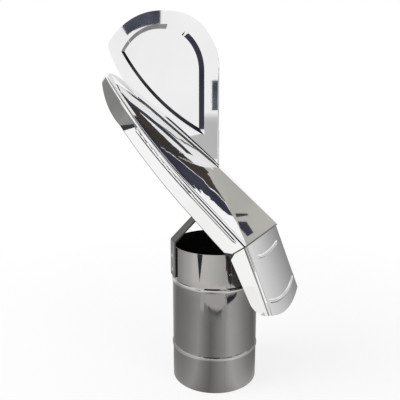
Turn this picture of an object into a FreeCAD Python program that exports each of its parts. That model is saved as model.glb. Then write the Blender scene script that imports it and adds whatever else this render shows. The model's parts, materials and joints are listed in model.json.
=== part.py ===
import FreeCAD, Part
import math
import os

V = FreeCAD.Vector
os.makedirs("parts", exist_ok=True)

# Flue pipe
pipe_radius = 75.0
pipe_wall = 1.0
pipe_length = 250.0
pipe_bead_inset = 63.0
pipe_bead_rise = 1.4
pipe_bead_width = 9.0
seam_angle = -50.0
seam_width = 2.5
seam_rise = 0.35
seam_stop = 1.0

# Arch of flat bar over the pipe mouth
strap_width = 25.0
strap_thickness = 2.5
strap_angle = 45.0
strap_foot = 196.0
strap_bend_rise = 8.0
strap_crown = 314.0
strap_crown_half = 20.0
strap_bend_radius = 4.0
strap_rivet_low = 207.0
strap_rivet_pitch = 25.0
strap_rivet_radius = 2.4
strap_rivet_head_radius = 4.5
strap_rivet_head_rise = 1.8

# Pin, nuts and washers on the pivot axis
pin_radius = 5.0
pin_tail = 2.5
thread_gap = 0.05
hole_gap = 0.2
nut_flats = 17.0
nut_height = 8.0
lock_nut_height = 7.0
washer_radius = 10.0
washer_thickness = 1.6
thrust_thickness = 2.0
end_play = 0.05

# Bearing of the hood
bush_gap = 0.05
bush_radius = 8.0
bush_length = 12.0
bush_flange_radius = 10.0
bush_flange = 2.0
press_gap = 0.01
tube_radius = 12.0
tube_length = 30.0

# Hood sheet and the line where roof and apron meet, below the top of the arch
sheet = 0.8
fold_x = 87.0
fold_drop = 37.0
roof_slope = 41.0
apron_slope = 68.0

# Roof pressing, measured up the slope from the fold, across and square to its plate
roof_half = 75.0
roof_straight = 110.0
roof_sweep_radius = 730.0
roof_nose_start = 386.0
roof_skirt = 36.0
roof_skirt_hold = 40.0
roof_skirt_high = 30.0
roof_skirt_bow_start = 300.0
roof_skirt_bow_mid = 362.0
roof_skirt_bow_depth = 25.5
roof_nose_skirt = 9.0
roof_bend_radius = 5.0
roof_overhang = 1.2
ridge_end_gap = 8.0
ridge_peak_x = 5.0
ridge_peak_rise = 105.5
ridge_drop = 0.95
ridge_inset = 13.0
ridge_swell = 0.12
ridge_steps = 6
ridge_root = 1.6
hip_inset = 4.0
side_bead_radius = 4.0
side_bead_rise = 1.6
side_bead_depth = 9.0
side_bead_start = 18.0
side_bead_end = 265.0
bead_taper = 14.0
bead_tip = 0.5

# Rear apron, measured down the slope from the fold
apron_end = 133.5
apron_end_sag = 17.2
apron_side_end = 119.0
apron_flange = 34.0
apron_flange_low = 27.0
apron_corner_radius = 30.0
apron_bend_radius = 8.0
apron_lap = 8.0
apron_lip = 12.0
apron_bead_radius = 4.0
apron_bead_rise = 1.6
high_bead_level = 33.0
high_bead_half = 42.0
high_bead_bow = 200.0
low_bead_inset = 23.0
low_bead_half = 56.0
relief_radius = 2.2
relief_level = 97.0
relief_inset = 7.0
relief_slit = 1.0
relief_slit_inset = 4.0

# Vane plate standing on the ridge; heights are above the fold
vane_front = 6.0
vane_head_rise = 264.0
vane_head_radius = 98.0
vane_bow_x = -165.0
vane_bow_rise = 351.0
vane_corner_x = -215.5
vane_corner_rise = 310.0
vane_corner_radius = 12.0
vane_waist_x = -196.0
vane_waist_rise = 268.0
vane_heel = -154.0
vane_hem = 5.0
vane_foot = 14.0
vane_foot_end = 8.0
drop_right = -21.5
drop_radius = 77.0
drop_bow_x = -150.0
drop_bow_rise = 331.0
drop_end_x = -186.0
drop_end_rise = 298.0
drop_belly_x = -126.0
drop_belly_rise = 226.5
drop_tip_rise = 158.0
drop_wall = 8.0
drop_depth = 4.0

# Cross bar under the roof, above the lower end of the bearing tube
bracket_width = 25.0
bracket_thickness = 3.0
bracket_rise = 2.5
bracket_tab = 12.0

# Rivets between roof and apron
joint_rivet_inset = 12.0
joint_rivet_s = 5.0
joint_rivet_radius = 1.3
joint_rivet_head_radius = 2.6
joint_rivet_head_rise = 1.0

# Size of the blocks that cut the hood, larger than the hood itself
reach = 3 * roof_nose_start

Z = V(0, 0, 1)
fold_z = strap_crown - fold_drop
ridge_peak_z = fold_z + ridge_peak_rise
hip_half = roof_half - hip_inset
strap_rivet_levels = (strap_rivet_low, strap_rivet_low + strap_rivet_pitch)


def save(shape, name):
    shape.exportStep("parts/" + name + ".step")


def disc(radius, low, high, bore=0.0):
    body = Part.makeCylinder(radius, high - low, V(0, 0, low))
    if bore > 0:
        body = body.cut(Part.makeCylinder(bore, high - low, V(0, 0, low)))
    return body


def hex_nut(low, height):
    corner = nut_flats / math.sqrt(3)
    ring = [V(corner * math.cos(math.radians(60 * k)), corner * math.sin(math.radians(60 * k)), low)
            for k in range(7)]
    body = Part.Face(Part.makePolygon(ring)).extrude(V(0, 0, height))
    return body.cut(Part.makeCylinder(pin_radius + thread_gap, height, V(0, 0, low)))


def rivet(shank_radius, head_radius, head_rise, grip):
    """Domed rivet on the local z axis, head seated on z=0, shank running down by grip."""
    ball = (head_radius ** 2 + head_rise ** 2) / (2 * head_rise)
    dome = Part.makeSphere(ball, V(0, 0, head_rise - ball))
    dome = dome.common(Part.makeCylinder(head_radius, head_rise, V(0, 0, 0)))
    return dome.fuse(Part.makeCylinder(shank_radius, grip, V(0, 0, -grip))).removeSplitter()


def bar_from_line(points, thickness, width):
    """Flat bar that follows a line of points in the XZ plane, thickness to the left of the line."""
    count = len(points)
    side = []
    for k in range(count):
        before = (points[k] - points[k - 1]).normalize() if k > 0 else None
        after = (points[k + 1] - points[k]).normalize() if k < count - 1 else None
        first = before if before else after
        second = after if after else before
        normals = [V(-d.z, 0, d.x) for d in (first, second)]
        middle = (normals[0] + normals[1]).normalize()
        side.append(points[k] + middle * (thickness / middle.dot(normals[0])))
    outline = Part.makePolygon(points + side[::-1] + [points[0]])
    body = Part.Face(outline).extrude(V(0, width, 0))
    body.translate(V(0, -width / 2, 0))
    return body, points[1:-1], side[1:-1]


def round_bends(body, corners, radius):
    edges = []
    for edge in body.Edges:
        middle = edge.BoundBox.Center
        along = abs(edge.BoundBox.YLength - edge.Length) < 1e-6
        if along and any(math.hypot(middle.x - c.x, middle.z - c.z) < 1e-3 for c in corners):
            edges.append(edge)
    return body.makeFillet(radius, edges)


def placed(shape, x_axis, y_axis, z_axis, origin):
    matrix = FreeCAD.Matrix(x_axis.x, y_axis.x, z_axis.x, origin.x,
                            x_axis.y, y_axis.y, z_axis.y, origin.y,
                            x_axis.z, y_axis.z, z_axis.z, origin.z, 0, 0, 0, 1)
    moved = shape.copy()
    moved.Placement = FreeCAD.Placement(matrix).multiply(shape.Placement)
    return moved


roof_up = V(-math.cos(math.radians(roof_slope)), 0, math.sin(math.radians(roof_slope)))
roof_out = V(math.sin(math.radians(roof_slope)), 0, math.cos(math.radians(roof_slope)))
apron_down = V(math.cos(math.radians(apron_slope)), 0, -math.sin(math.radians(apron_slope)))
apron_out = V(math.sin(math.radians(apron_slope)), 0, math.cos(math.radians(apron_slope)))
fold = V(fold_x, 0, fold_z)
hip_up = (V(ridge_peak_x, 0, ridge_peak_z) - fold).normalize()
hip_out = V(hip_up.z, 0, -hip_up.x)
hip_skin = ridge_drop * hip_out.dot(roof_out)
# the fold plane halves the angle between roof and apron; this is its normal towards the roof
mitre = (roof_up - apron_down).normalize()


def on_roof(shape):
    return placed(shape, roof_up, V(0, -1, 0), roof_out, fold)


def on_hip(shape):
    return placed(shape, hip_up, V(0, -1, 0), hip_out, fold)


def on_apron(shape):
    return placed(shape, apron_down, V(0, 1, 0), apron_out, fold)


def half_space(normal, offset):
    """Large block on the far side of the plane through the fold, shifted along its normal."""
    block = Part.makeBox(2 * reach, 2 * reach, reach, V(-reach, -reach, 0))
    across = V(0, 1, 0)
    return placed(block, across.cross(normal), across, normal, fold + normal * offset)


def side_view(edges):
    """Block that keeps what lies inside an outline drawn in the local XZ plane."""
    block = Part.Face(Part.Wire(edges)).extrude(V(0, 2 * reach, 0))
    block.translate(V(0, -reach, 0))
    return block


def line_edges(points):
    return [Part.makeLine(a, b) for a, b in zip(points, points[1:])]


def bowed_bead(level, bow, half, rise, radius):
    """Rib across the local y axis, bowed towards +x, that stands out of z=0 and fades at both ends."""
    centre = V(level - bow, 0, rise - radius)
    angle = math.asin(half / bow)
    first = centre + V(bow * math.cos(angle), -half, 0)
    away = V(-math.sin(angle), -math.cos(angle), 0)
    ring = Part.Face(Part.Wire(Part.makeCircle(radius, first, away * -1)))
    rib = ring.revolve(centre, Z, 2 * math.degrees(angle))
    end = Part.makeCone(radius, bead_tip, bead_taper, first, away)
    return rib.fuse(end).fuse(end.mirror(V(0, 0, 0), V(0, 1, 0)))


# Flue pipe: profile with two outward beads, turned about the axis, and the raised weld seam
def pipe_outline(radius, rise):
    pts = []
    for level in (pipe_bead_inset, pipe_length - pipe_bead_inset):
        pts.append((V(radius, 0, level - pipe_bead_width / 2), V(radius + rise, 0, level),
                    V(radius, 0, level + pipe_bead_width / 2)))
    edges = []
    here = V(radius, 0, 0)
    for low, top, high in pts:
        edges.append(Part.makeLine(here, low))
        edges.append(Part.Arc(low, top, high).toShape())
        here = high
    edges.append(Part.makeLine(here, V(radius, 0, pipe_length)))
    return edges


def flue_pipe():
    outer = pipe_outline(pipe_radius, pipe_bead_rise)
    inner = pipe_outline(pipe_radius - pipe_wall, pipe_bead_rise)
    ends = [Part.makeLine(V(pipe_radius - pipe_wall, 0, z), V(pipe_radius, 0, z)) for z in (0, pipe_length)]
    wire = Part.Wire(Part.__sortEdges__(outer + inner + ends))
    pipe = Part.Face(wire).revolve(V(0, 0, 0), Z, 360)
    low = 0.0
    for level in (pipe_bead_inset, pipe_length - pipe_bead_inset, pipe_length + pipe_bead_width / 2 + seam_stop):
        high = level - pipe_bead_width / 2 - seam_stop
        seam = Part.makeBox(pipe_wall / 2 + seam_rise, seam_width, high - low,
                            V(pipe_radius - pipe_wall / 2, -seam_width / 2, low))
        seam.rotate(V(0, 0, 0), Z, seam_angle)
        pipe = pipe.fuse(seam)
        low = level + pipe_bead_width / 2 + seam_stop
    return pipe.removeSplitter()


save(flue_pipe(), "flue_pipe")


# Arch strap with two legs outside the pipe, bent inwards over the mouth
def bridge_strap():
    bend = pipe_length + strap_bend_rise
    inner = strap_crown - strap_thickness
    line = [V(-pipe_radius, 0, strap_foot), V(-pipe_radius, 0, bend),
            V(-strap_crown_half, 0, inner), V(strap_crown_half, 0, inner),
            V(pipe_radius, 0, bend), V(pipe_radius, 0, strap_foot)]
    bar, inside, outside = bar_from_line(line, strap_thickness, strap_width)
    bar = round_bends(bar, inside, strap_bend_radius)
    bar = round_bends(bar, outside, strap_bend_radius + strap_thickness)
    bar = bar.cut(disc(pin_radius + hole_gap, inner - 1, strap_crown + 1))
    for turn in (0, 180):
        for level in strap_rivet_levels:
            hole = Part.makeCylinder(strap_rivet_radius, 3 * strap_thickness,
                                     V(pipe_radius - strap_thickness, 0, level), V(1, 0, 0))
            hole.rotate(V(0, 0, 0), Z, turn)
            bar = bar.cut(hole)
    bar.rotate(V(0, 0, 0), Z, strap_angle)
    return bar


save(bridge_strap(), "bridge_strap")


def strap_rivets():
    group = []
    for turn in (0, 180):
        for level in strap_rivet_levels:
            one = rivet(strap_rivet_radius, strap_rivet_head_radius, strap_rivet_head_rise, strap_thickness)
            one = placed(one, V(0, 1, 0), V(0, 0, 1), V(1, 0, 0), V(pipe_radius + strap_thickness, 0, level))
            one.rotate(V(0, 0, 0), Z, turn + strap_angle)
            group.append(one)
    return Part.makeCompound(group)


save(strap_rivets(), "strap_rivets")

# Stack on the pivot axis, every level from the one before it
crown_under = strap_crown - strap_thickness
low_washer = crown_under - washer_thickness
low_nut = low_washer - nut_height
high_washer = strap_crown + washer_thickness
high_nut = high_washer + nut_height
thrust_top = high_nut + thrust_thickness
bush_bottom = thrust_top + end_play
tube_bottom = bush_bottom + bush_flange
tube_top = tube_bottom + tube_length
bush_top = tube_top + bush_flange
keeper_bottom = bush_top + end_play
keeper_top = keeper_bottom + washer_thickness
lock_top = keeper_top + lock_nut_height

washer_bore = pin_radius + hole_gap
save(disc(pin_radius, low_nut - pin_tail, lock_top + pin_tail), "pivot_spindle")
save(hex_nut(low_nut, nut_height), "spindle_nut_low")
save(hex_nut(high_washer, nut_height), "spindle_nut_high")
save(Part.makeCompound([disc(washer_radius, low_washer, crown_under, washer_bore),
                        disc(washer_radius, strap_crown, high_washer, washer_bore)]), "spindle_washers")
save(disc(washer_radius, high_nut, thrust_top, washer_bore), "thrust_washer")
save(disc(washer_radius, keeper_bottom, keeper_top, washer_bore), "retaining_washer")
save(hex_nut(keeper_top, lock_nut_height), "retaining_nut")


# Bearing tube with a flanged bush at each end
def bush(flange_low, body_low):
    flange = disc(bush_flange_radius, flange_low, flange_low + bush_flange)
    body = disc(bush_radius - press_gap, body_low, body_low + bush_length)
    bore = disc(pin_radius + bush_gap, bush_bottom - 1, bush_top + 1)
    return flange.fuse(body).cut(bore).removeSplitter()


save(bush(bush_bottom, tube_bottom), "bush_low")
save(bush(tube_top, tube_top - bush_length), "bush_high")
save(disc(tube_radius, tube_bottom, tube_top, bush_radius), "bearing_tube")


# Roof pressing: leaf-shaped plate with skirt, a ridge that ends in two hips, and side beads
def leaf_side(inset):
    """Start of the sweep, its middle, its end and the tip of the nose, on the +y side."""
    half = roof_half - inset
    sweep = roof_sweep_radius - inset
    centre = half - sweep
    angle = math.asin((roof_nose_start - roof_straight) / sweep)

    def swept(turn):
        return V(roof_straight + sweep * math.sin(turn), centre + sweep * math.cos(turn), 0)

    end = swept(angle)
    # the nose arc leaves the swept side in its own direction and crosses the middle square to it
    nose = end.y / math.cos(angle)
    tip = V(end.x - nose * math.sin(angle) + nose, 0, 0)
    return V(roof_straight, half, 0), swept(angle / 2), end, tip


roof_tip = leaf_side(0)[3].x
ridge_start = roof_tip - ridge_end_gap


def leaf(inset, low, high):
    straight, middle, end, tip = leaf_side(inset)
    start = V(-apron_lap - roof_bend_radius, straight.y, 0)

    def mirror(p):
        return V(p.x, -p.y, p.z)

    edges = [Part.makeLine(start, straight),
             Part.Arc(straight, middle, end).toShape(),
             Part.Arc(end, tip, mirror(end)).toShape(),
             Part.Arc(mirror(end), mirror(middle), mirror(straight)).toShape(),
             Part.makeLine(mirror(straight), mirror(start)),
             Part.makeLine(mirror(start), start)]
    face = Part.Face(Part.Wire(edges))
    body = face.extrude(V(0, 0, high - low))
    body.translate(V(0, 0, low))
    return body


def round_top(body, level, radius):
    edges = []
    for edge in body.Edges:
        box = edge.BoundBox
        flat = abs(box.ZMin - level) < 1e-6 and abs(box.ZMax - level) < 1e-6
        if flat and box.XLength > 1e-3:
            edges.append(edge)
    return body.makeFillet(radius, edges)


peak_from_fold = V(ridge_peak_x, 0, ridge_peak_z) - fold
peak = V(peak_from_fold.dot(roof_up), 0, peak_from_fold.dot(roof_out))


def leaf_half(s):
    """Half width of the leaf where its sides are swept."""
    sweep = roof_sweep_radius
    return roof_half - sweep + math.sqrt(sweep ** 2 - (s - roof_straight) ** 2)


def ridge_section(s, drop):
    """Outline of one half of the ridge across the roof: a bowed face over a root in the plate."""
    rise = peak.z * (ridge_start - s) / (ridge_start - peak.x)
    half = leaf_half(s) - ridge_inset
    base = V(s, half, -drop)
    crest = V(s, 0, rise - drop)
    swell = V(s, half / 2, rise * (0.5 + ridge_swell) - drop)
    root = V(0, 0, -drop - ridge_root)
    low = [crest, V(s, 0, 0) + root, V(s, half, 0) + root, base]
    return Part.Wire([Part.Arc(base, swell, crest).toShape()] + line_edges(low))


def ridge_side(drop):
    """One bowed face of the ridge as a solid, from its corner at the fold over the peak to the nose."""
    step = (ridge_start - peak.x) / ridge_steps
    wires = [ridge_section(peak.x + k * step, drop) for k in range(ridge_steps)]
    body = Part.makeLoft(wires, True)
    for wire, end in ((wires[0], V(0, hip_half, -drop)), (wires[-1], V(ridge_start, 0, -drop))):
        body = body.fuse(Part.makeLoft([wire, Part.Vertex(end)], True, True))
    return body


def ridge_block(drop):
    """Solid under the ridge and hip faces, lowered by drop and rooted below the plate."""
    start = V(ridge_start, 0, -drop)
    top = V(peak.x, 0, peak.z - drop)
    left = V(0, -hip_half, -drop)
    right = V(0, hip_half, -drop)
    faces = [Part.Face(Part.makePolygon([a, b, c, a]))
             for a, b, c in ((start, top, left), (start, right, top), (top, right, left), (start, left, right))]
    block = Part.Solid(Part.Shell(faces))
    if block.Volume < 0:
        block.reverse()
    root = Part.Face(Part.makePolygon([start, left, right, start])).extrude(V(0, 0, -ridge_root))
    side = ridge_side(drop)
    return block.fuse([root, side, side.mirror(V(0, 0, 0), V(0, 1, 0))])


def side_bead(shrink):
    """Rib near the top of one skirt: straight part, swept part and faded ends."""
    radius = side_bead_radius - shrink
    offset = side_bead_radius - side_bead_rise
    level = -side_bead_depth
    half = roof_half - offset
    sweep = roof_sweep_radius - offset
    angle = math.asin((side_bead_end - roof_straight) / sweep)
    rib = Part.makeCylinder(radius, roof_straight - side_bead_start, V(side_bead_start, half, level), V(1, 0, 0))
    rib = rib.fuse(Part.makeCone(bead_tip, radius, bead_taper, V(side_bead_start - bead_taper, half, level),
                                 V(1, 0, 0)))
    ring = Part.Face(Part.Wire(Part.makeCircle(radius, V(roof_straight, half, level), V(1, 0, 0))))
    centre = V(roof_straight, half - sweep, level)
    rib = rib.fuse(ring.revolve(centre, V(0, 0, -1), math.degrees(angle)))
    end = centre + V(sweep * math.sin(angle), sweep * math.cos(angle), 0)
    away = V(math.cos(angle), -math.sin(angle), 0)
    rib = rib.fuse(Part.makeCone(radius, bead_tip, bead_taper, end, away))
    other = rib.mirror(V(0, 0, 0), V(0, 1, 0))
    return rib, other


def roof_inner():
    body = round_top(leaf(sheet, -3 * roof_skirt, -sheet), -sheet, roof_bend_radius - sheet)
    return body.fuse(ridge_block(ridge_drop))


def joint_holes(shape):
    for sign in (-1, 1):
        y = sign * (roof_half - joint_rivet_inset)
        hole = Part.makeCylinder(joint_rivet_radius, 10 * sheet, V(joint_rivet_s, y, -5 * sheet))
        shape = shape.cut(on_hip(hole))
    return shape


def skirt_limit():
    """Side view of the roof: a deep skirt at the fold that gets shallower and sweeps up to the nose."""
    bow = [V(roof_skirt_bow_start, 0, -roof_skirt_high), V(roof_skirt_bow_mid, 0, -roof_skirt_bow_depth),
           V(roof_tip, 0, -roof_nose_skirt)]
    front = line_edges([bow[2], V(reach, 0, -roof_nose_skirt), V(reach, 0, reach), V(-reach, 0, reach),
                        V(-reach, 0, -roof_skirt), V(roof_skirt_hold, 0, -roof_skirt), bow[0]])
    return side_view(front + [Part.Arc(*bow).toShape()])


def roof_shell():
    body = round_top(leaf(0, -2 * roof_skirt, 0), 0, roof_bend_radius)
    body = body.fuse(ridge_block(0))
    inside = roof_inner()
    for outer, inner in zip(side_bead(0), side_bead(sheet)):
        body = body.fuse(outer)
        inside = inside.fuse(inner)
    body = on_roof(body.cut(inside).common(skirt_limit()))
    return joint_holes(body.common(half_space(mitre, -roof_overhang)).removeSplitter())


# Rear apron: flat tray under the roof end with side flanges, a bowed lower end and two cross beads
def apron_block(inset):
    half = roof_half - sheet - inset
    deep = 3 * apron_flange
    body = Part.makeBox(apron_flange + 2 * apron_end, 2 * half, deep, V(-apron_flange, -half, -inset - deep))
    edges = []
    for edge in body.Edges:
        box = edge.BoundBox
        if box.YLength < 1e-6 and box.XLength > apron_end and box.ZMin > -apron_flange:
            edges.append(edge)
    return body.makeFillet(apron_bend_radius - inset, edges)


end_bow = (roof_half ** 2 + apron_end_sag ** 2) / (2 * apron_end_sag)


def apron_keep():
    """Side view of the flanges with rounded lower corners; the tray above them ends in a bow."""
    r = apron_corner_radius
    corner = V(apron_side_end - r, 0, -apron_flange_low + r)
    turn = math.asin((-apron_bend_radius - corner.z) / r)
    half_turn = (turn - math.pi / 2) / 2
    low = corner - V(0, 0, r)
    side = corner + V(math.cos(turn), 0, math.sin(turn)) * r
    edges = line_edges([side, V(reach, 0, side.z), V(reach, 0, reach), V(-apron_flange, 0, reach),
                        V(-apron_flange, 0, -apron_flange), V(0, 0, -apron_flange), low])
    edges.append(Part.Arc(low, corner + V(math.cos(half_turn), 0, math.sin(half_turn)) * r, side).toShape())
    round_end = Part.makeCylinder(end_bow, 2 * reach, V(apron_end - end_bow, 0, -reach))
    return side_view(edges).common(round_end)


def apron_beads(shrink):
    size = (apron_bead_rise - shrink, apron_bead_radius - shrink)
    low = bowed_bead(apron_end - low_bead_inset, end_bow - low_bead_inset, low_bead_half, *size)
    return low.fuse(bowed_bead(high_bead_level, high_bead_bow, high_bead_half, *size))


def back_apron():
    body = apron_block(0).fuse(apron_beads(0)).cut(apron_block(sheet).fuse(apron_beads(sheet)))
    body = body.common(apron_keep())
    for sign in (-1, 1):
        hole_y = sign * (roof_half - sheet - relief_inset)
        slit_y = sign * (roof_half - sheet - relief_slit_inset)
        depth = 2 * apron_bend_radius
        body = body.cut(Part.makeCylinder(relief_radius, 2 * depth, V(relief_level, hole_y, -depth)))
        body = body.cut(Part.makeBox(apron_end, relief_slit, 2 * depth,
                                     V(relief_level, slit_y - relief_slit / 2, -depth)))
    body = on_apron(body)
    lip = on_hip(Part.makeBox(apron_lip, 2 * hip_half, sheet, V(0, -hip_half, -hip_skin - sheet)))
    body = body.fuse(lip)
    outside = body.cut(half_space(mitre, -roof_overhang))
    under = body.common(half_space(mitre, -roof_overhang)).common(on_roof(roof_inner()))
    under = under.cut(half_space(mitre, apron_lap))
    return joint_holes(outside.fuse(under).removeSplitter())


# Vane plate with embossed drop, hem on the front edge and a foot on the near roof face
def ridge_height(x):
    start = fold + roof_up * ridge_start
    slope = (start.z - ridge_peak_z) / (ridge_peak_x - start.x)
    return ridge_peak_z + slope * (ridge_peak_x - x)


def raised(x, rise):
    """Point in the vane's plane, by its height above the fold."""
    return V(x, 0, fold_z + rise)


def head_arc(right, radius):
    """Quarter round from an upright edge, whose top is at right, to its crown."""
    turn = math.sqrt(0.5) * radius
    crown = right + V(-radius, 0, radius)
    return Part.Arc(right, right + V(turn - radius, 0, turn), crown).toShape(), crown


def vane_plate():
    right = raised(vane_front, vane_head_rise)
    toe = V(vane_front, 0, ridge_height(vane_front))
    heel = V(vane_heel, 0, ridge_height(vane_heel))
    corner = raised(vane_corner_x, vane_corner_rise)
    head, crown = head_arc(right, vane_head_radius)
    wire = Part.Wire([Part.makeLine(toe, right), head,
                      Part.Arc(crown, raised(vane_bow_x, vane_bow_rise), corner).toShape(),
                      Part.Arc(corner, raised(vane_waist_x, vane_waist_rise), heel).toShape(),
                      Part.makeLine(heel, toe)])
    plate = Part.Face(wire).extrude(V(0, sheet, 0))
    edges = [e for e in plate.Edges if (e.BoundBox.Center - corner).cross(V(0, 1, 0)).Length < sheet / 10]
    plate = plate.makeFillet(vane_corner_radius, edges)
    plate.translate(V(0, -sheet / 2, 0))
    return plate


def drop_outline():
    right = raised(drop_right, vane_head_rise)
    head, crown = head_arc(right, drop_radius)
    end = raised(drop_end_x, drop_end_rise)
    tip = raised(drop_right, drop_tip_rise)
    return Part.Wire([Part.makeLine(tip, right), head,
                      Part.Arc(crown, raised(drop_bow_x, drop_bow_rise), end).toShape(),
                      Part.Arc(end, raised(drop_belly_x, drop_belly_rise), tip).toShape()])


def drop_block(shift):
    outer = drop_outline()
    inner = outer.makeOffset2D(-drop_wall, 2)
    inner.translate(V(0, -drop_depth, 0))
    block = Part.makeLoft([outer, inner], True, True)
    block.translate(V(0, shift, 0))
    return block


def vane_base():
    """Foot of the vane: a strip that lies on the near roof face along the ridge."""
    heel = (V(vane_heel + vane_foot_end, 0, ridge_height(vane_heel + vane_foot_end)) - fold).dot(roof_up)
    strip = ridge_block(-sheet).cut(ridge_block(0))
    corners = [V(peak.x, 0, 0), V(heel, 0, 0), V(heel - vane_foot, vane_foot, 0), V(peak.x, vane_foot, 0)]
    keep = Part.Face(Part.makePolygon(corners + corners[:1])).extrude(V(0, 0, 2 * peak.z))
    return on_roof(strip.common(keep))


def vane_fin():
    plate = vane_plate().fuse(drop_block(-sheet / 2)).cut(drop_block(sheet / 2))
    low = ridge_height(vane_front) + 4 * sheet
    high = fold_z + vane_head_rise
    hem = Part.makeBox(vane_hem, sheet, high - low, V(vane_front - vane_hem, -1.5 * sheet, low))
    plate = plate.fuse(hem).fuse(vane_base())
    return plate.removeSplitter()


save(roof_shell(), "roof_shell")
save(back_apron(), "back_apron")
save(vane_fin(), "vane_fin")


# Cross bar from skirt to skirt with turned-down ends, holding the bearing tube
def hood_bracket():
    half = roof_half - sheet - bracket_thickness
    level = tube_bottom + bracket_rise
    line = [V(-half, 0, level - bracket_tab), V(-half, 0, level),
            V(half, 0, level), V(half, 0, level - bracket_tab)]
    bar, inside, outside = bar_from_line(line, bracket_thickness, bracket_width)
    bar = round_bends(bar, outside, bracket_thickness)
    bar.rotate(V(0, 0, 0), Z, 90)
    return bar.cut(disc(tube_radius, tube_bottom, tube_top))


save(hood_bracket(), "hood_bracket")


def joint_rivets():
    group = []
    for sign in (-1, 1):
        one = rivet(joint_rivet_radius, joint_rivet_head_radius, joint_rivet_head_rise, hip_skin + sheet)
        one.translate(V(joint_rivet_s, sign * (roof_half - joint_rivet_inset), 0))
        group.append(on_hip(one))
    return Part.makeCompound(group)


save(joint_rivets(), "joint_rivets")
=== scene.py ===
import json
import math

import bmesh
import bpy
from mathutils import Matrix, Vector


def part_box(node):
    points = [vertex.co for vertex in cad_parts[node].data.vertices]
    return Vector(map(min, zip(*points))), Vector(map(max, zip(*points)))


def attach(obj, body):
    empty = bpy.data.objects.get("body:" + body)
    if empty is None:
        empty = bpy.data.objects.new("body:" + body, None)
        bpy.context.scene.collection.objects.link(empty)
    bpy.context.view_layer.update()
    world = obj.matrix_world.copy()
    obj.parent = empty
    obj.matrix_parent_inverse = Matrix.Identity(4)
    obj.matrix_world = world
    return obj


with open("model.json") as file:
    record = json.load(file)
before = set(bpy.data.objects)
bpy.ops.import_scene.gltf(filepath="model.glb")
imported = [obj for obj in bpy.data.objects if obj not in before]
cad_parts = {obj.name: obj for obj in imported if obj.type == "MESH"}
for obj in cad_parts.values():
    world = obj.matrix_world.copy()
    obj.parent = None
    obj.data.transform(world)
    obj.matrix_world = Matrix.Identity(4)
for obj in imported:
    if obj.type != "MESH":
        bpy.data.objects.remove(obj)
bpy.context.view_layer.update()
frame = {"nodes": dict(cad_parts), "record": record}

nodes = frame["nodes"]

# Camera at the photograph's angle: metres, degrees, and the focal length in picture widths
camera_place = (0.3863, -0.8165, 0.5351)
camera_pitch = 13.12
camera_turn = 27.0
camera_focal = 537.9 / 400
sensor_width = 36

# Pipe, in metres: its top, the foot and top of each bead, where the finer polish starts and is full,
# and a radius just outside its bore
pipe_top = 0.25
low_bead, high_bead = (0.062, 0.065), (0.185, 0.189)
bead_fade = 0.0015
polish_start, polish_end = 0.14, 0.16
bore_edge = 0.0742

# Hood, in metres: middle of the line where roof and apron meet, the directions along and out of both, and
# the thickness of the sheet
fold = Vector((0.087, 0, 0.277))
roof_slope, apron_slope = math.radians(41), math.radians(68)
roof_up = Vector((-math.cos(roof_slope), 0, math.sin(roof_slope)))
roof_out = Vector((math.sin(roof_slope), 0, math.cos(roof_slope)))
apron_down = Vector((math.cos(apron_slope), 0, -math.sin(apron_slope)))
apron_out = Vector((math.sin(apron_slope), 0, math.cos(apron_slope)))
sheet = 0.0008

# Roof outline and the depth of its skirt, by the distance up the slope from the fold
roof_half, roof_straight, roof_sweep = 0.075, 0.110, 0.730
nose_start, nose_radius, nose_tip = 0.386, 0.02248, 0.400
skirt_level_end, skirt_bend = 0.040, 0.300
skirt_low, skirt_rise = -0.036, 0.006
skirt_nose = ((skirt_bend, -0.030), (0.362, -0.0255), (nose_tip, -0.009))

# The vane's foot on the ridge, and its front edge above the foot
ridge_low, ridge_reach = Vector((0.005, 0, 0.3825)), 0.392
vane_heel = -0.154
vane_edge_low, vane_edge_length = 0.388, 0.158

# Steel: how fine the clouds, the polish and the dents are, and how deep a full dent is in metres.
# The noise keeps most of its values between low and high.
cloud_scale, polish_scale, dent_scale, dent_depth = 9.0, 60.0, 14.0, 0.002
noise_low, noise_high = 0.3, 0.7

# Stage, in metres: the floor, the radii where its shadow fades, the rim of the table, and the middle
floor_size, floor_level = 8, -0.0005
shadow_start, shadow_end = 0.15, 0.9
table_fade_start, table_fade_end, table_radius = 0.47, 0.57, 1.5
stage_centre = Vector((0, 0, 0.3))


def link(material, source, target):
    material.node_tree.links.new(source, target)


def add(material, kind, **settings):
    node = material.node_tree.nodes.new(kind)
    for key, value in settings.items():
        setattr(node, key, value)
    return node


def fill(node, values):
    for key, value in values.items():
        node.inputs[key].default_value = value


def calculate(material, operation, first, second, kind="ShaderNodeMath"):
    node = add(material, kind, operation=operation)
    link(material, first, node.inputs[0])
    link(material, second, node.inputs[1])
    return node.outputs[0]


def map_range(material, value, low, high, to_low=0.0, to_high=1.0):
    """Carry a value from one range to another, held at both ends."""
    node = add(material, "ShaderNodeMapRange")
    fill(node, {"From Min": low, "From Max": high, "To Min": to_low, "To Max": to_high})
    link(material, value, node.inputs["Value"])
    return node.outputs["Result"]


def ramp(material, factor, stops):
    node = add(material, "ShaderNodeValToRGB")
    elements = node.color_ramp.elements
    while len(elements) < len(stops):
        elements.new(0.5)
    for element, (place, colour) in zip(elements, stops):
        element.position = place
        element.color = (*colour, 1)
    link(material, factor, node.inputs["Fac"])
    return node.outputs["Color"]


def noise(material, scale, detail=3.0):
    """Noise in object space, as a factor socket."""
    texture = add(material, "ShaderNodeTexNoise")
    fill(texture, {"Scale": scale, "Detail": detail})
    coords = add(material, "ShaderNodeTexCoord")
    link(material, coords.outputs["Object"], texture.inputs["Vector"])
    return texture.outputs["Fac"]


def cloudy(material, scale, dark, light):
    """Colour that drifts between two tones."""
    return ramp(material, noise(material, scale), ((noise_low, dark), (noise_high, light)))


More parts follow.
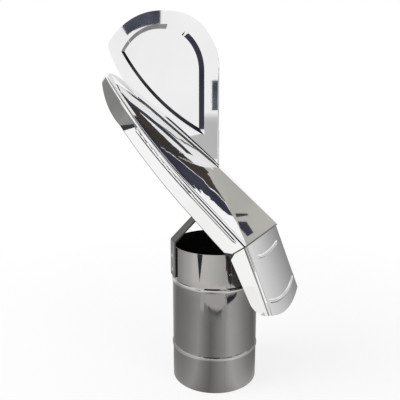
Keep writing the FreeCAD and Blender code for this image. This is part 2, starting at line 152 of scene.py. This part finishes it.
def upright(material, kind):
    """Upright part of the place or the normal, in object space."""
    coords = add(material, "ShaderNodeTexCoord")
    parts = add(material, "ShaderNodeSeparateXYZ")
    link(material, coords.outputs[kind], parts.inputs["Vector"])
    return parts.outputs["Z"]


def upward_mask(material, low, high):
    """0 on faces that look down past the low value, 1 on faces above the high one."""
    return map_range(material, upright(material, "Normal"), low, high)


def radius_mask(material, inner, outer):
    """0 inside the inner radius about the upright axis, 1 outside the outer one."""
    coords = add(material, "ShaderNodeTexCoord")
    flat = add(material, "ShaderNodeVectorMath", operation="MULTIPLY")
    flat.inputs[1].default_value = (1, 1, 0)
    length = add(material, "ShaderNodeVectorMath", operation="LENGTH")
    link(material, coords.outputs["Object"], flat.inputs[0])
    link(material, flat.outputs["Vector"], length.inputs[0])
    return map_range(material, length.outputs["Value"], inner, outer)


def mixer(material, kind, factor):
    """The two inputs and the output of a mix of colours or of values."""
    node = add(material, "ShaderNodeMix", data_type=kind)
    link(material, factor, node.inputs["Factor"])
    wanted = "RGBA" if kind == "RGBA" else "VALUE"
    first, second = [socket for socket in node.inputs if socket.type == wanted][-2:]
    result = [socket for socket in node.outputs if socket.type == wanted][-1]
    return first, second, result


def plain_material(name):
    """New material with its shader."""
    material = bpy.data.materials.new(name)
    material.use_nodes = True
    return material, material.node_tree.nodes["Principled BSDF"]


def glow_material(name):
    """New material that only glows, with the socket of its colour."""
    material, shader = plain_material(name)
    material.node_tree.nodes.remove(shader)
    glow = add(material, "ShaderNodeEmission")
    link(material, glow.outputs[0], material.node_tree.nodes["Material Output"].inputs["Surface"])
    return material, glow.inputs["Color"]


def steel(name, dark, light, smooth, rough, dent):
    """Sheet steel: cloudy tone, uneven polish and shallow dents."""
    material, shader = plain_material(name)
    shader.inputs["Metallic"].default_value = 1.0
    link(material, cloudy(material, cloud_scale, dark, light), shader.inputs["Base Color"])
    polish = map_range(material, noise(material, polish_scale), noise_low, noise_high, smooth, rough)
    link(material, polish, shader.inputs["Roughness"])
    bump = add(material, "ShaderNodeBump")
    fill(bump, {"Strength": dent, "Distance": dent_depth})
    link(material, noise(material, dent_scale, detail=1.0), bump.inputs["Height"])
    link(material, bump.outputs["Normal"], shader.inputs["Normal"])
    return material


def painted_shade_and_dull(material, mask, colour, rough):
    """Painted shade: dark colour, with a duller finish, where the mask is 0; the finish stays where it is 1.
    """
    shader = material.node_tree.nodes["Principled BSDF"]
    for name, kind, value in (("Base Color", "RGBA", (*colour, 1)), ("Roughness", "FLOAT", rough)):
        first, second, result = mixer(material, kind, mask)
        first.default_value = value
        link(material, shader.inputs[name].links[0].from_socket, second)
        link(material, result, shader.inputs[name])


def gain_by_height(material, socket, top, stops):
    """Scale a colour or a roughness by height: the colour for painted highlights and lighter bands, the
    roughness where the sheet was worked or polished further.
    """
    shader = material.node_tree.nodes["Principled BSDF"]
    height = map_range(material, upright(material, "Object"), 0, top)
    gain = ramp(material, height, [(z / top, (g, g, g)) for z, g in stops])
    kind = "ShaderNodeVectorMath" if socket == "Base Color" else "ShaderNodeMath"
    before = shader.inputs[socket].links[0].from_socket
    link(material, calculate(material, "MULTIPLY", before, gain, kind), shader.inputs[socket])


def bead_gain(bead, below, on, above):
    """Gains under, on and over a bead of the pipe."""
    foot, top = bead
    return [(foot - bead_fade, below), (foot, on), (top, on), (top + bead_fade, above)]


# Finishes: dark and light tone, finest and coarsest polish, strength of the dents
finish_rows = (("hood_steel", (0.87, 0.87, 0.87), (0.92, 0.92, 0.92), 0.012, 0.03, 0.003),
               ("vane_steel", (0.82, 0.82, 0.83), (0.88, 0.88, 0.88), 0.015, 0.035, 0.012),
               ("pipe_steel", (0.30, 0.29, 0.285), (0.34, 0.33, 0.325), 0.10, 0.18, 0.06),
               ("strap_steel", (0.09, 0.09, 0.085), (0.13, 0.13, 0.125), 0.25, 0.4, 0.1),
               ("fastener_steel", (0.5, 0.5, 0.5), (0.62, 0.62, 0.62), 0.2, 0.3, 0.0),
               ("bush_bronze", (0.55, 0.40, 0.20), (0.65, 0.50, 0.28), 0.25, 0.35, 0.0))
finishes = {row[0]: steel(*row) for row in finish_rows}


def painted_light_and_polish():
    """Painted highlights on the pipe's beads, its colour lighter above the high bead and its polish; painted
    shade inside its bore, on the hood's downward faces and on the vane's downward walls of the drop.
    """
    pipe, hood, vane = (finishes[name] for name in ("pipe_steel", "hood_steel", "vane_steel"))
    # Painted highlights: the pipe's colour is lighter on both beads, and lighter above the high bead.
    gain_by_height(pipe, "Base Color", pipe_top,
                   bead_gain(low_bead, 1, 1.8, 1) + bead_gain(high_bead, 1, 2, 1.38))
    polish = [(polish_start, 1), (polish_end, 0.35)]
    gain_by_height(pipe, "Roughness", pipe_top,
                   bead_gain(low_bead, 1, 2, 1) + polish + bead_gain(high_bead, 0.35, 1.2, 0.35))
    # Painted shade: dark colour inside the pipe's bore.
    painted_shade_and_dull(pipe, radius_mask(pipe, bore_edge, bore_edge + 0.0004), colour=(0.05, 0.05, 0.05), rough=0.5)
    # Painted shade: dark colour on the hood's downward faces, under the roof and inside the apron.
    painted_shade_and_dull(hood, upward_mask(hood, low=-0.25, high=-0.15), colour=(0.16, 0.15, 0.145), rough=0.3)
    # Painted shade: near-black colour on the vane's downward faces, chiefly the walls of its drop.
    painted_shade_and_dull(vane, upward_mask(vane, low=-0.24, high=-0.18), colour=(0.05, 0.05, 0.065), rough=0.2)


painted_light_and_polish()
for row in frame["record"]["subparts"]:
    piece = nodes[row["node"]]
    piece.data.materials.clear()
    piece.data.materials.append(finishes[row["material_slot"]])


# Details of the sheet work and the pivot, with dark bars that paint shade along the skirt's edge and two
# joints, in metres
def round_bar(name, path, thickness, body, slot, sides=8, ring=False):
    """Round bar along a line of points, closed into a ring or with flat ends."""
    shape = bmesh.new()
    turns = [2 * math.pi * n / sides for n in range(sides)]
    rings = []
    across = None
    for k, point in enumerate(path):
        before = path[k - 1] if k or ring else point
        after = path[(k + 1) % len(path)] if k < len(path) - 1 or ring else point
        along = (after - before).normalized()
        across = across or along.orthogonal()
        across = (across - along * across.dot(along)).normalized()
        beside = along.cross(across)
        rings.append([shape.verts.new(point + (across * math.cos(t) + beside * math.sin(t)) * thickness(k))
                      for t in turns])
    pairs = list(zip(rings, rings[1:])) + ([(rings[-1], rings[0])] if ring else [])
    for one, two in pairs:
        for n in range(sides):
            shape.faces.new((one[n], one[(n + 1) % sides], two[(n + 1) % sides], two[n])).smooth = True
    if not ring:
        shape.faces.new(rings[0][::-1])
        shape.faces.new(rings[-1])
    bmesh.ops.recalc_face_normals(shape, faces=shape.faces)
    mesh = bpy.data.meshes.new(name)
    shape.to_mesh(mesh)
    shape.free()
    mesh.materials.append(finishes[slot])
    piece = bpy.data.objects.new(name, mesh)
    bpy.context.collection.objects.link(piece)
    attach(piece, body)


def narrowed(thick, steps, end, run):
    """Thickness of a bar that narrows to a share of it over the first and last points."""
    return lambda k: thick * min(1, end + k / run, end + (steps - k) / run)


def round_point(radius, turn, height):
    """Point on a circle about the upright axis."""
    return Vector((radius * math.cos(turn), radius * math.sin(turn), height))


def leaf_half(s):
    """Half width of the roof at a distance up its slope."""
    if s <= roof_straight:
        return roof_half
    if s <= nose_start:
        return roof_half - roof_sweep + math.sqrt(roof_sweep ** 2 - (s - roof_straight) ** 2)
    return math.sqrt(max(nose_radius ** 2 - (s - nose_tip + nose_radius) ** 2, 0))


def arc_height(s, points):
    """Height at s on the lower right of the circle through three points."""
    (a, p), (b, q), (c, r) = points
    d = 2 * (a * (q - r) + b * (r - p) + c * (p - q))
    m = ((a * a + p * p) * (q - r) + (b * b + q * q) * (r - p) + (c * c + r * r) * (p - q)) / d
    n = ((a * a + p * p) * (c - b) + (b * b + q * q) * (a - c) + (c * c + r * r) * (b - a)) / d
    return n - math.sqrt((a - m) ** 2 + (p - n) ** 2 - (s - m) ** 2)


def skirt_edge(s):
    """Depth of the skirt's lower edge under the roof plate."""
    if s <= skirt_level_end:
        return skirt_low
    if s <= skirt_bend:
        return skirt_low + skirt_rise * (s - skirt_level_end) / (skirt_bend - skirt_level_end)
    return arc_height(s, skirt_nose)


def skirt_hem():
    """Inward curl of the sheet along the skirt's lower edge, round the nose, in a dark finish that paints a
    shade line along the edge.
    """
    curl, inset, lift = 0.0010, 0.0012, 0.0003
    start, steps, turns = 0.0085, 89, 10
    hang, hang_fade = 0.0008, 0.05
    side = []
    for k in range(steps + 1):
        s = start + (nose_start - start) * k / steps
        below = hang * min(1, (nose_start - s) / hang_fade)
        side.append((s, leaf_half(s) - inset, skirt_edge(s) - below))
    middle, reach = nose_tip - nose_radius, nose_radius - inset
    lean = math.atan2(leaf_half(nose_start), nose_start - nose_tip + nose_radius)
    for k in range(1, turns + 1):
        turn = lean * (1 - k / turns)
        edge = skirt_edge(middle + nose_radius * math.cos(turn))
        side.append((middle + reach * math.cos(turn), reach * math.sin(turn), edge))
    points = [(s, y, w + lift) for s, y, w in side]
    points += [(s, -y, w) for s, y, w in reversed(points[:-1])]
    path = [fold + roof_up * s + Vector((0, y, 0)) + roof_out * w for s, y, w in points]
    # The dark finish paints a shade line along the skirt's edge.
    round_bar("skirt_hem", path, lambda k: curl, "hood", "strap_steel")


def fold_shadow_strip():
    """Thin dark bar of painted shadow under the roof's lapped edge, along the apron's outside at the joint
    between roof and apron.
    """
    thick, gap = 0.0011, 0.0012
    half, bend, depth, shoulder = roof_half - sheet, 0.008, 0.033, 0.02
    steps = 8
    outline = [(-half - thick, -depth), (-half - thick, -shoulder)]
    for k in range(steps + 1):
        turn = math.pi / 2 * k / steps
        reach = bend + thick
        outline.append((bend - half - reach * math.cos(turn), -bend + reach * math.sin(turn)))
    outline += [(-y, w) for y, w in reversed(outline)]
    mitre = (roof_up - apron_down).normalized()
    path = []
    for y, w in outline:
        down = (-gap - thick - w * mitre.dot(apron_out)) / mitre.dot(apron_down)
        path.append(fold + apron_down * down + Vector((0, y, 0)) + apron_out * w)
    # Dark bar as painted shadow under the roof's edge.
    round_bar("fold_shadow_strip", path, lambda k: thick, "hood", "strap_steel")


def vane_curl():
    """Rounded fold along the vane's front edge."""
    front, thick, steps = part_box("vane_fin")[1][0], 0.0011, 20
    heights = [vane_edge_low + vane_edge_length * k / steps for k in range(steps + 1)]
    path = [Vector((front - thick, -thick, z)) for z in heights]
    round_bar("vane_curl", path, narrowed(thick, steps, end=0.25, run=4), "hood", "vane_steel")


def vane_foot_shadow():
    """Dark bead on the near side of the line where the vane stands on the ridge: painted shade in the crease
    at the vane's foot.
    """
    thick, steps = 0.0012, 20
    along = fold + roof_up * ridge_reach - ridge_low
    lift = along.cross(Vector((0, -1, 0))).normalized()
    beside = Vector((0, -thick, 0)) + lift * thick
    heel = (ridge_low.x - vane_heel) / -along.x
    path = [ridge_low + along * heel * k / steps + beside for k in range(steps + 1)]
    # Dark bead as painted shade in the crease at the vane's foot.
    round_bar("vane_foot_shadow", path, narrowed(thick, steps, end=0.3, run=3), "hood", "strap_steel")


def tube_welds():
    """Rippled weld beads that hold the bearing tube in the cross bar."""
    top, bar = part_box("hood_bracket")[1][2], 0.003
    radius, thick, ripple, lift = 0.0125, 0.0012, 0.00022, 0.0004
    count, wave = 144, 6
    for name, level in (("tube_weld_high", top + lift), ("tube_weld_low", top - bar - lift)):
        path = [round_point(radius, 2 * math.pi * k / count, level) for k in range(count)]
        round_bar(name, path, lambda k: thick + ripple * abs(math.sin(math.pi * k / wave)),
                  "hood", "strap_steel", ring=True)


def pin_threads():
    """Thread ridges on both free ends of the pin."""
    low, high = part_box("pivot_spindle")[0][2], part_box("pivot_spindle")[1][2]
    radius, ridge, pitch, inset, count = 0.005, 0.00028, 0.0008, 0.0003, 24
    for name, start, end in (("pin_thread_low", low + inset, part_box("spindle_nut_low")[0][2]),
                             ("pin_thread_high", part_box("retaining_nut")[1][2], high - inset)):
        steps = int((end - start) / pitch * count)
        path = [round_point(radius, 2 * math.pi * k / count, start + pitch * k / count)
                for k in range(steps + 1)]
        round_bar(name, path, lambda k: ridge, "base", "fastener_steel", sides=6)


skirt_hem()
fold_shadow_strip()
vane_curl()
vane_foot_shadow()
tube_welds()
pin_threads()


# Stage: pale floor, white surroundings, soft lamps and the cards that the polished steel mirrors
def seen_directly(material):
    """1 for camera, glossy and transmission rays, which see the plain white background."""
    path = add(material, "ShaderNodeLightPath")
    total = path.outputs["Is Camera Ray"]
    for name in ("Is Glossy Ray", "Is Transmission Ray"):
        total = calculate(material, "MAXIMUM", total, path.outputs[name])
    return total


def white_world():
    """White all round, at half strength for the light that falls on the object."""
    world = bpy.data.worlds.new("studio")
    world.use_nodes = True
    bpy.context.scene.world = world
    background = world.node_tree.nodes["Background"]
    background.inputs["Color"].default_value = (1, 1, 1, 1)
    strength = map_range(world, seen_directly(world), 0, 1, to_low=0.5, to_high=1.0)
    link(world, strength, background.inputs["Strength"])


def pale_floor():
    """Pale floor that keeps the shadow in and near the pipe and runs out to plain white."""
    bpy.ops.mesh.primitive_plane_add(size=floor_size, location=(0, 0, floor_level))
    floor = bpy.context.object
    floor.name = "floor"
    material, shader = plain_material("pale_floor")
    fill(shader, {"Base Color": (0.85, 0.85, 0.85, 1), "Roughness": 0.9})
    glow = add(material, "ShaderNodeEmission")
    mix = add(material, "ShaderNodeMixShader")
    fade = radius_mask(material, shadow_start, shadow_end)
    share = map_range(material, fade, 0, 1, to_low=0.8, to_high=1.0)
    part = calculate(material, "MULTIPLY", seen_directly(material), share)
    outside = radius_mask(material, bore_edge, bore_edge + 0.0006)
    link(material, calculate(material, "MULTIPLY", part, outside), mix.inputs["Fac"])
    link(material, shader.outputs[0], mix.inputs[1])
    link(material, glow.outputs[0], mix.inputs[2])
    link(material, mix.outputs[0], material.node_tree.nodes["Material Output"].inputs["Surface"])
    floor.data.materials.append(material)


def glow_tone(name, dark, light, scale=2.0):
    """Card surface: an even glow that drifts a little between two tones."""
    material, colour = glow_material(name)
    link(material, cloudy(material, scale, dark, light), colour)
    return material


def shade_tone(name, across, start, end, tones):
    """Card surface that runs through the tones along a direction on the card."""
    material, colour = glow_material(name)
    coords = add(material, "ShaderNodeTexCoord")
    along = add(material, "ShaderNodeVectorMath", operation="DOT_PRODUCT")
    along.inputs[1].default_value = (*across, 0)
    link(material, coords.outputs["Object"], along.inputs[0])
    run = map_range(material, along.outputs["Value"], start, end)
    stops = [(k / (len(tones) - 1), (t, t, t)) for k, t in enumerate(tones)]
    link(material, ramp(material, run, stops), colour)
    return material


def table_tone():
    """Dull table round the object, by compass direction, and the lighter floor beyond it."""
    material, colour = glow_material("table_card")
    coords = add(material, "ShaderNodeTexCoord")
    compass = add(material, "ShaderNodeTexGradient", gradient_type="RADIAL")
    link(material, coords.outputs["Object"], compass.inputs["Vector"])

    def tones(stops):
        return ramp(material, compass.outputs["Fac"], [(0.5 + a / 360, (t, t, t * 0.98)) for a, t in stops])

    near = tones(((-178, 0.36), (-132, 0.55), (-103, 0.78), (-87, 0.5), (-73, 0.32), (-58, 0.53), (-47, 0.66),
                  (-28, 1.0), (-9, 0.82), (12, 0.55), (35, 0.36), (52, 0.25), (75, 0.4), (110, 0.7),
                  (145, 0.55), (178, 0.36)))
    far = tones(((-178, 0.45), (-160, 0.54), (-146, 0.69), (-132, 0.78), (-118, 0.98), (-97, 1.0), (-87, 1.0),
                 (-68, 0.9), (-57, 0.82), (-40, 0.7), (60, 0.9)))
    fade = radius_mask(material, table_fade_start, table_fade_end)
    first, second, result = mixer(material, "RGBA", fade)
    link(material, near, first)
    link(material, far, second)
    link(material, result, colour)
    return material


navy = glow_tone("navy_card", (0.03, 0.03, 0.045), (0.055, 0.055, 0.08))
brown = glow_tone("brown_card", (0.04, 0.035, 0.032), (0.07, 0.06, 0.055))
slate = glow_tone("slate_card", (0.02, 0.023, 0.04), (0.16, 0.17, 0.21), 4.0)
grey = glow_tone("grey_card", (0.20, 0.20, 0.195), (0.32, 0.32, 0.31))
beige = glow_tone("beige_card", (0.42, 0.41, 0.385), (0.50, 0.49, 0.46))
pale = glow_tone("pale_card", (0.92, 0.91, 0.90), (1.0, 0.99, 0.98))
panel_shade = shade_tone("panel_card", (1, -0.36), -0.15, -0.015, (0.78, 0.55, 0.27))
rear_shade = shade_tone("rear_card", (0.2, 1), -0.35, 0.6, (0.3, 0.48, 0.8))
vane_shade = shade_tone("vane_card", (0, 1), -0.16, -0.09, (0.52, 0.6, 0.95))


def stage_card(name, points, material, place=Matrix()):
    """Flat card of the studio, seen only in the steel's reflections."""
    mesh = bpy.data.meshes.new("card_" + name)
    mesh.from_pydata(points, [], [list(range(len(points)))])
    mesh.materials.append(material)
    piece = bpy.data.objects.new("card_" + name, mesh)
    piece.matrix_world = place
    piece.visible_camera = False
    piece.visible_diffuse = False
    piece.visible_transmission = False
    piece.visible_shadow = False
    bpy.context.collection.objects.link(piece)


def card(name, direction, distance, corners, material):
    """Card square to a compass direction and elevation; corners are given across and up on it."""
    turn, lift = (math.radians(angle) for angle in direction)
    away = Vector((math.cos(lift) * math.cos(turn), math.cos(lift) * math.sin(turn), math.sin(lift)))
    right = Vector((0, 0, 1)).cross(away).normalized()
    up = away.cross(right)
    facing = Matrix((right, up, away)).transposed().to_4x4()
    place = Matrix.Translation(stage_centre + away * distance) @ facing
    stage_card(name, [(a, b, 0) for a, b in corners], material, place)


def floor_card(name, corners, height, material):
    """Card on the floor; corners are given as compass direction and distance from the pipe's axis."""
    stage_card(name, [round_point(r, math.radians(a), height) for a, r in corners], material)


def block(left, right, low, high):
    return (left, low), (right, low), (right, high), (left, high)


def roof_cards():
    """Dark ceiling in the roof and the wall in the hip."""
    ceiling, hip = (40, 62), (69, 17)
    card("ceiling_brown", ceiling, 2.0,
         ((0.95, 0.48), (0.80, 0.36), (0.62, 0.295), (0.56, 0.272), (0.45, 0.24), (0.41, 0.165), (0.40, 0.07),
          (0.39, -0.01), (0.29, -0.04), (-0.03, -0.115), (-0.08, -0.256), (-0.04, -0.42), (-0.07, -0.40),
          (-0.20, -0.152), (-0.292, -0.008), (-0.29, 0.112), (-0.207, 0.172), (-0.146, 0.2), (0.1, 0.44),
          (0.95, 0.6)), brown)
    card("ceiling_navy", ceiling, 2.0,
         ((-0.085, -0.40), (-0.05, -0.55), (-0.31, -0.24), (-0.50, 0.0), (-0.60, 0.28), (-0.9, 0.5),
          (-0.9, 1.2), (0.6, 1.2), (0.95, 0.62), (0.09, 0.455), (-0.155, 0.212), (-0.217, 0.184),
          (-0.302, 0.118), (-0.306, -0.008), (-0.212, -0.156)), navy)
    card("ceiling_beige", ceiling, 2.02,
         ((-0.04, -0.42), (-0.08, -0.256), (-0.03, -0.115), (0.29, -0.04), (0.7, -0.1), (0.7, -1.1),
          (0.05, -1.1), (0.02, -0.68), (-0.06, -0.56)), beige)
    card("hip_wall", hip, 2.6, block(-0.4, 0.25, -0.25, 0.37), beige)
    card("hip_window", hip, 2.5,
         ((-0.1, 0.034), (-0.077, -0.024), (-0.125, -0.09), (-0.162, -0.064), (-0.117, 0.027)), navy)
    card("hip_smear", hip, 2.5, ((-0.055, 0.06), (-0.028, -0.012), (-0.038, -0.02), (-0.075, 0.045)), brown)


def near_cards():
    """Dark and grey patches in the vane, the apron, the skirt and the vane's drop."""
    vane, left, above = (-120, 2), (-160, 15), (-72, 45)
    card("vane_top", vane, 2.5,
         ((-0.36, 0.422), (-0.333, 0.378), (-0.301, 0.402), (-0.253, 0.422), (-0.193, 0.437), (-0.133, 0.444),
          (-0.131, 0.54), (-0.36, 0.54)), slate)
    card("vane_side", vane, 2.5, block(0.18, 0.26, -0.071, 0.113), slate)
    card("vane_low", vane, 2.55,
         ((0.135, -0.09), (0.30, -0.09), (0.30, -0.40), (-0.05, -0.40), (-0.02, -0.27), (0.06, -0.235),
          (0.135, -0.22)), vane_shade)
    card("panel", (63, -2), 1.0, block(-0.26, 0.06, -0.27, 0.08), panel_shade)
    card("left_wall", left, 2.0,
         ((-0.8, -0.3), (0.36, -0.3), (0.36, -0.12), (0.62, -0.12), (0.70, 0.05), (1.0, 0.1), (1.0, 0.55),
          (-0.8, 0.55)), grey)
    card("left_edge", left, 1.98,
         ((0.34, -0.105), (0.45, -0.112), (0.62, -0.115), (0.64, -0.125), (0.5, -0.145),
          (0.36, -0.155)), navy)
    card("left_high", left, 2.0, ((-0.5, 0.56), (0.5, 0.56), (0.9, 1.5), (0.7, 1.75), (-0.5, 1.75)), grey)
    card("camera_side", (-69, 4), 2.2, block(-0.95, 0.75, -0.23, 1.0), navy)
    card("camera_high", above, 2.1,
         ((-0.70, -0.65), (0.75, -0.65), (0.75, 0.08), (0.05, 0.13), (-0.53, 0.265), (-0.56, 0.36),
          (-0.64, 0.36)), navy)
    card("camera_top", above, 2.1, ((-0.6, 0.67), (0.0, 0.74), (0.6, 0.76), (0.6, 1.2), (-0.6, 1.2)), brown)
    card("drop_edge", above, 2.08,
         ((-0.25, 0.66), (-0.2, 0.66), (-0.15, 0.45), (-0.085, 0.42), (-0.08, 0.2), (-0.13, 0.2),
          (-0.16, 0.31), (-0.21, 0.43)), grey)


def far_cards():
    """Shaded walls that keep the steel apart from the white when it is seen from other sides."""
    for name, direction, distance, sides in (("nose_wall", (103, 25), 2.4, (-0.45, 0.5, -0.5, 0.7)),
                                             ("rear_left", (140, 0), 1.6, (-0.6, 0.6, -0.29, 0.6)),
                                             ("rear_right", (45, 0), 1.6, (-0.55, 0.35, -0.29, 0.5)),
                                             ("side_wall", (-33, 15), 2.2, (-0.68, 0.6, -0.85, 0.6)),
                                             ("apron_wall", (6, 26), 2.2, (-0.6, 0.55, -0.7, 0.55)),
                                             ("zenith", (0, 86), 2.2, (-0.5, 0.5, -0.45, 0.35))):
        card(name, direction, distance, block(*sides), rear_shade)


def low_cards():
    """Table, dark floor and the patches that the pipe and the skirt mirror."""
    low, middle, high = 0.001, 0.002, 0.003
    left_corners = ((-1.2, -0.9), (-3.2, -0.9), (-3.2, 0.1), (-1.2, 0.1))
    stage_card("left_floor", [(x, y, middle) for x, y in left_corners], navy)
    stage_card("streak", ((-0.073, -0.25, 0.195), (-0.006, -0.25, 0.195), (-0.041, -0.25, 0.128)), navy)
    floor_card("right_dark", ((-30, 0.56), (-5, 0.56), (-5, 0.95), (-46, 0.95)), middle, brown)
    floor_card("flange_light", ((-100, 0.40), (-91, 0.40), (-90, 0.47), (-100, 0.49)), low, pale)
    floor_card("bowl", ((-100, 0.484), (-87, 0.442), (-68, 0.407), (-49, 0.406), (-38, 0.45), (-37, 0.5),
                        (-37, 0.56), (-60, 0.56), (-80, 0.56), (-100, 0.56)), middle, pale)
    floor_card("bowl_rim", ((-80, 0.428), (-68, 0.406), (-49, 0.405), (-46, 0.41), (-49, 0.375), (-68, 0.373),
                            (-80, 0.408)), high, navy)
    floor_card("bowl_side", ((-33, 0.44), (-8, 0.48), (-8, 0.5), (-35, 0.5), (-37, 0.47)), high, navy)
    sides = 48
    rim = [round_point(table_radius, 2 * math.pi * k / sides, 0) for k in range(sides)]
    stage_card("table", rim, table_tone())


def lamp(name, place, size, power):
    data = bpy.data.lights.new(name, "AREA")
    data.size = size
    data.energy = power
    light = bpy.data.objects.new(name, data)
    light.location = place
    light.visible_glossy = False
    aim = stage_centre - Vector(place)
    light.rotation_euler = aim.to_track_quat("-Z", "Y").to_euler()
    bpy.context.collection.objects.link(light)


def photo_camera():
    data = bpy.data.cameras.new("camera")
    data.sensor_width = sensor_width
    data.lens = sensor_width * camera_focal
    camera = bpy.data.objects.new("camera", data)
    camera.location = camera_place
    camera.rotation_euler = (math.radians(90 - camera_pitch), 0, math.radians(camera_turn))
    bpy.context.collection.objects.link(camera)
    bpy.context.scene.camera = camera


white_world()
pale_floor()
roof_cards()
near_cards()
far_cards()
low_cards()
lamp("key_lamp", (-1.2, -1.2, 1.6), 1.2, 30)
lamp("fill_lamp", (1.6, -0.6, 1.0), 1.0, 10)
photo_camera()
bpy.context.scene.view_settings.view_transform = "Standard"
